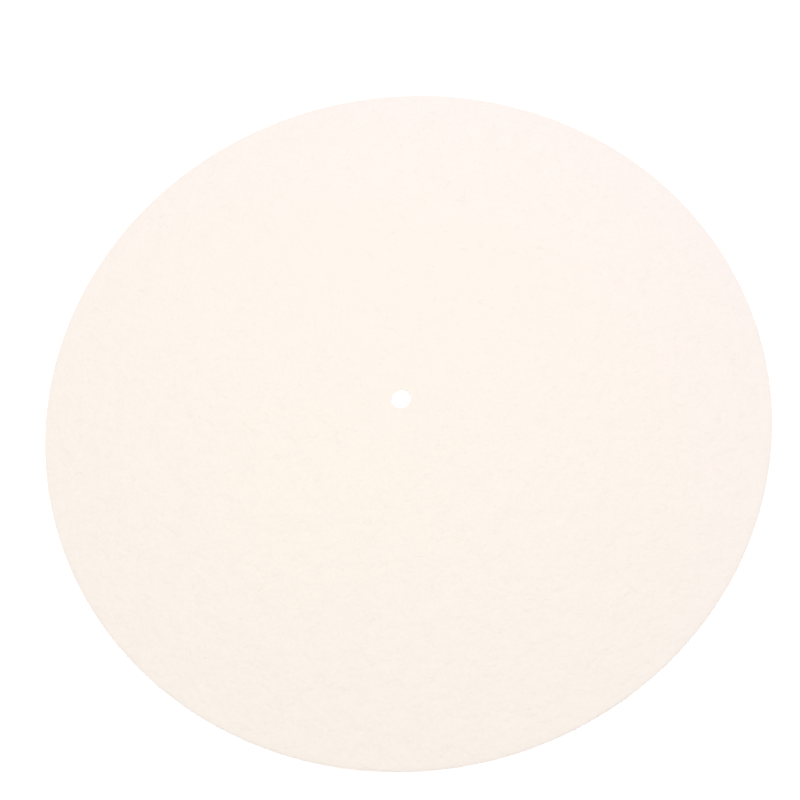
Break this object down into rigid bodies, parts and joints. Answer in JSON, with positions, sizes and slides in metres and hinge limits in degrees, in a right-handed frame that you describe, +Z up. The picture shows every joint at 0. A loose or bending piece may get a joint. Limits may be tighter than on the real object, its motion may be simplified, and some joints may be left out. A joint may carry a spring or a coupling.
{
  "type": "turntable platter mat",
  "caption": "Flat round mat die-cut from undyed wool felt, with a small central spindle hole, that lies on a turntable's platter under the record.",
  "frame": {"origin": "on the axis of the spindle hole, at the underside that lies on the platter", "axes": "+Z up out of the top face, along the axis of the disc and of its hole; X and Y lie in the plane of the mat, which is the same all round"},
  "size_m": [0.3, 0.3, 0.002],
  "materials": {
    "wool_felt": "undyed pressed wool felt, warm off-white, matt, with a short soft nap"
  },
  "bodies": {
    "root": {"felt_mat": "wool_felt"}
  },
  "joints": []
}
